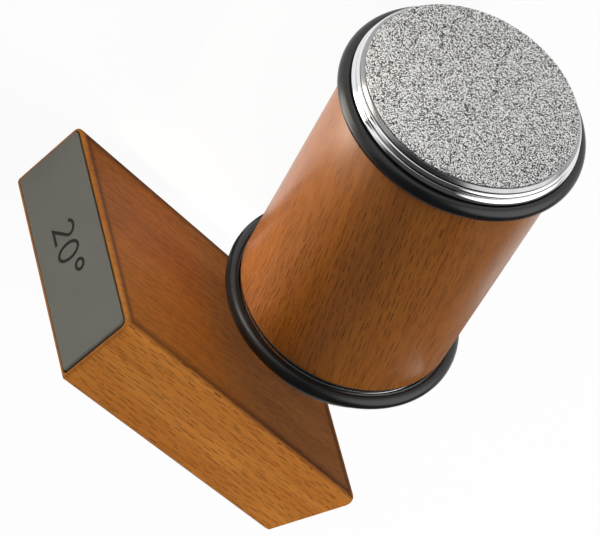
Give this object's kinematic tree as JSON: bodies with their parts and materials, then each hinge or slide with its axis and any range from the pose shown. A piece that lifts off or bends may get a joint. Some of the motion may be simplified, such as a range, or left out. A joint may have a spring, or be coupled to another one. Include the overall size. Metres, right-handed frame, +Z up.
{
  "type": "rolling knife sharpener",
  "caption": "Rolling knife sharpener: a wooden roller with an abrasive disc on each end, and a magnetic wooden block whose leaning ends hold a blade at an angle.",
  "frame": {"origin": "centre of the block's long side that it lies on, on the floor", "axes": "+Z up; +X along the block towards its 20 degree end; +Y towards the block's base, so its wide face and the roller are on the -Y side"},
  "size_m": [0.1115, 0.1187, 0.056],
  "materials": {
    "block_wood": "oiled close-grained hardwood, satin",
    "pad_rubber": "smooth satin silicone pad",
    "magnet_nickel": "nickel-plated bar magnet",
    "keeper_steel": "plain mild steel plate",
    "sheet_rubber": "matt non-slip rubber",
    "grip_wood": "oiled close-grained hardwood, satin",
    "hub_chrome": "mirror chrome plate",
    "ring_rubber": "black moulded rubber",
    "bearing_steel": "ground bearing steel",
    "hub_magnet_nickel": "nickel-plated disc magnet",
    "cage_brass": "machined brass",
    "plate_steel": "turned steel, satin bevel",
    "diamond_grit": "fine diamond grit set in nickel",
    "honing_steel": "fine ground stainless steel"
  },
  "bodies": {
    "angle_block": {"base_sheet": "sheet_rubber", "block_body": "block_wood", "keeper_15": "keeper_steel", "keeper_20": "keeper_steel", "magnet_15_1": "magnet_nickel", "magnet_15_2": "magnet_nickel", "magnet_15_3": "magnet_nickel", "magnet_20_1": "magnet_nickel", "magnet_20_2": "magnet_nickel", "magnet_20_3": "magnet_nickel", "pad_15": "pad_rubber", "pad_20": "pad_rubber"},
    "grip": {"wood_grip": "grip_wood", "coarse_bearing_outer_race": "bearing_steel", "fine_bearing_outer_race": "bearing_steel"},
    "wheelset": {"axle": "bearing_steel", "coarse_bearing_inner_race": "bearing_steel", "coarse_hub": "hub_chrome", "coarse_hub_magnet_1": "hub_magnet_nickel", "coarse_hub_magnet_2": "hub_magnet_nickel", "coarse_hub_magnet_3": "hub_magnet_nickel", "coarse_hub_magnet_4": "hub_magnet_nickel", "coarse_hub_screw": "bearing_steel", "coarse_ring": "ring_rubber", "fine_bearing_inner_race": "bearing_steel", "fine_hub": "hub_chrome", "fine_hub_magnet_1": "hub_magnet_nickel", "fine_hub_magnet_2": "hub_magnet_nickel", "fine_hub_magnet_3": "hub_magnet_nickel", "fine_hub_magnet_4": "hub_magnet_nickel", "fine_hub_screw": "bearing_steel", "fine_ring": "ring_rubber", "spacer_tube": "bearing_steel"},
    "coarse_cage": {"coarse_ball_1": "bearing_steel", "coarse_ball_2": "bearing_steel", "coarse_ball_3": "bearing_steel", "coarse_ball_4": "bearing_steel", "coarse_ball_5": "bearing_steel", "coarse_ball_6": "bearing_steel", "coarse_ball_7": "bearing_steel", "coarse_bearing_cage": "cage_brass"},
    "fine_cage": {"fine_ball_1": "bearing_steel", "fine_ball_2": "bearing_steel", "fine_ball_3": "bearing_steel", "fine_ball_4": "bearing_steel", "fine_ball_5": "bearing_steel", "fine_ball_6": "bearing_steel", "fine_ball_7": "bearing_steel", "fine_bearing_cage": "cage_brass"},
    "coarse_disc": {"coarse_disc_plate": "plate_steel", "coarse_grit_sheet": "diamond_grit"},
    "fine_disc": {"honing_disc": "honing_steel"}
  },
  "joints": [
    {"name": "roller_travel", "type": "slide", "parent": "angle_block", "child": "grip", "axis": [-0.7431, -0.6691, 0], "range_m": [0, 0.08]},
    {"name": "wheelset_spin", "type": "hinge", "parent": "grip", "child": "wheelset", "pos_m": [0.0113, -0.0609, 0.028], "axis": [0.6691, -0.7431, 0], "continuous": true},
    {"name": "coarse_cage_orbit", "type": "hinge", "parent": "grip", "child": "coarse_cage", "pos_m": [0.0113, -0.0609, 0.028], "axis": [0.6691, -0.7431, 0], "continuous": true},
    {"name": "fine_cage_orbit", "type": "hinge", "parent": "grip", "child": "fine_cage", "pos_m": [0.0113, -0.0609, 0.028], "axis": [0.6691, -0.7431, 0], "continuous": true},
    {"name": "coarse_disc_pull", "type": "slide", "parent": "wheelset", "child": "coarse_disc", "axis": [0.6691, -0.7431, 0], "range_m": [0, 0.012]},
    {"name": "fine_disc_pull", "type": "slide", "parent": "wheelset", "child": "fine_disc", "axis": [-0.6691, 0.7431, 0], "range_m": [0, 0.004]}
  ],
  "couplings": [
    {"joint": "coarse_cage_orbit", "follows": "wheelset_spin", "ratio": 0.3839},
    {"joint": "fine_cage_orbit", "follows": "wheelset_spin", "ratio": 0.3839}
  ]
}
